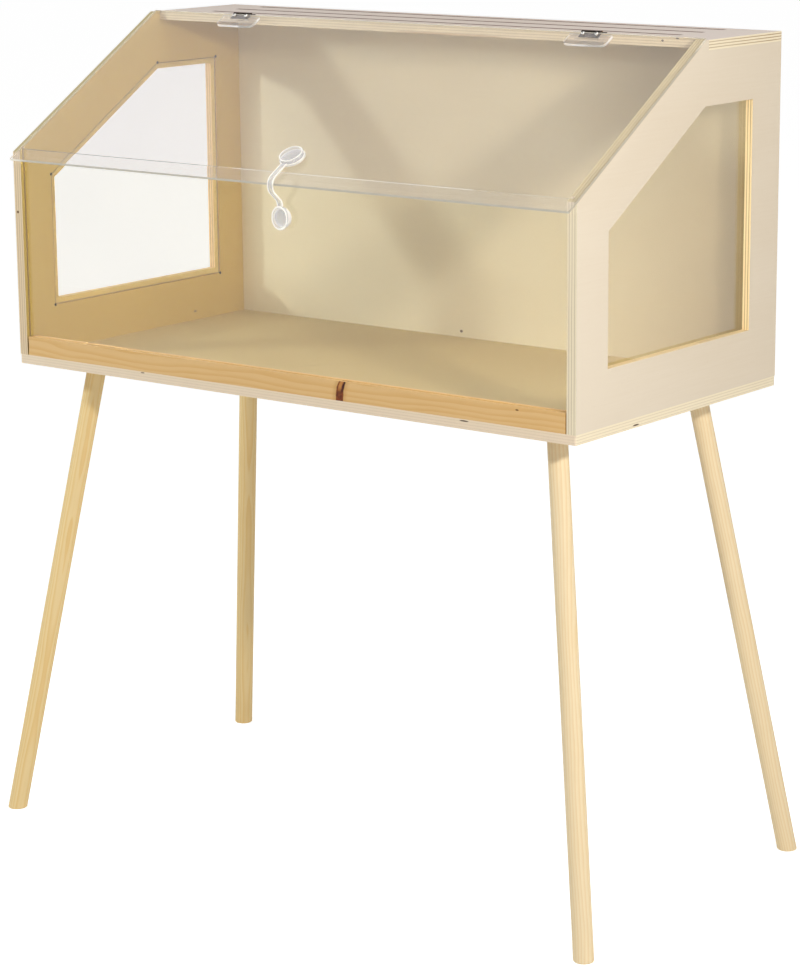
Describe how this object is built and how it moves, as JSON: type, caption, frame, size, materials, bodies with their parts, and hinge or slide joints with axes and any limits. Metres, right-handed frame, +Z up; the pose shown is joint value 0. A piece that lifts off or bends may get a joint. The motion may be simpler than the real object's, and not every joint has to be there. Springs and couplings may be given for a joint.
{
  "type": "hamster cage",
  "caption": "Plywood hamster cage on splayed round legs, with a clear front, side windows, vented roof and a slanted clear lid on hinges.",
  "frame": {"origin": "on the floor, midway between the four feet", "axes": "+Z up, +X to the right seen from the front, -Y out of the clear front pane"},
  "size_m": [0.8668, 0.4488, 0.961],
  "materials": {
    "plywood": "sanded birch plywood, plies showing on the edges",
    "back_plywood": "sanded thin birch plywood",
    "rail_pine": "honey pine with knots",
    "leg_pine": "turned pine dowel, sanded",
    "dowel_beech": "plain beech",
    "clear_acrylic": "clear polished sheet",
    "hinge_steel": "dark nickel plated",
    "bright_screw": "bright nickel plated",
    "dark_tack": "dark steel pin heads",
    "zinc_screw": "bright zinc plated",
    "latch_base": "milky moulded plastic",
    "latch_strap": "translucent flexible moulding"
  },
  "bodies": {
    "cage": {"base_board": "plywood", "side_panel_left": "plywood", "side_panel_right": "plywood", "roof_board": "plywood", "back_panel": "back_plywood", "front_rail": "rail_pine", "leg_front_left": "leg_pine", "leg_front_right": "leg_pine", "leg_back_left": "leg_pine", "leg_back_right": "leg_pine", "roof_dowels": "dowel_beech", "front_pane": "clear_acrylic", "window_pane_left": "clear_acrylic", "window_pane_right": "clear_acrylic", "hinge_roof_leaf_left": "hinge_steel", "hinge_roof_leaf_right": "hinge_steel", "hinge_pin_left": "hinge_steel", "hinge_pin_right": "hinge_steel", "roof_leaf_screws_left": "bright_screw", "roof_leaf_screws_right": "bright_screw", "window_tacks_left": "dark_tack", "window_tacks_right": "dark_tack", "rail_screws": "zinc_screw", "side_screws": "zinc_screw", "leg_screw_front_left": "zinc_screw", "leg_screw_front_right": "zinc_screw", "leg_screw_back_left": "zinc_screw", "leg_screw_back_right": "zinc_screw", "back_nails": "zinc_screw", "latch_pane_base": "latch_base"},
    "lid": {"lid_pane": "clear_acrylic", "hinge_lid_leaf_left": "hinge_steel", "hinge_lid_leaf_right": "hinge_steel", "lid_leaf_bolts_left": "bright_screw", "lid_leaf_bolts_right": "bright_screw", "lid_leaf_nuts_left": "bright_screw", "lid_leaf_nuts_right": "bright_screw", "hinge_plate_left": "clear_acrylic", "hinge_plate_right": "clear_acrylic", "latch_lid_base": "latch_base", "latch_cap": "latch_strap"},
    "strap": {"latch_strap": "latch_strap"}
  },
  "joints": [
    {"name": "lid_hinge", "type": "hinge", "parent": "cage", "child": "lid", "pos_m": [0, 0.04448, 0.959], "axis": [-1, 0, 0], "range_deg": [0, 170]},
    {"name": "strap_bend", "type": "hinge", "parent": "lid", "child": "strap", "pos_m": [0.0085, -0.19443, 0.82127], "axis": [-1, 0, 0], "range_deg": [0, 100]}
  ]
}
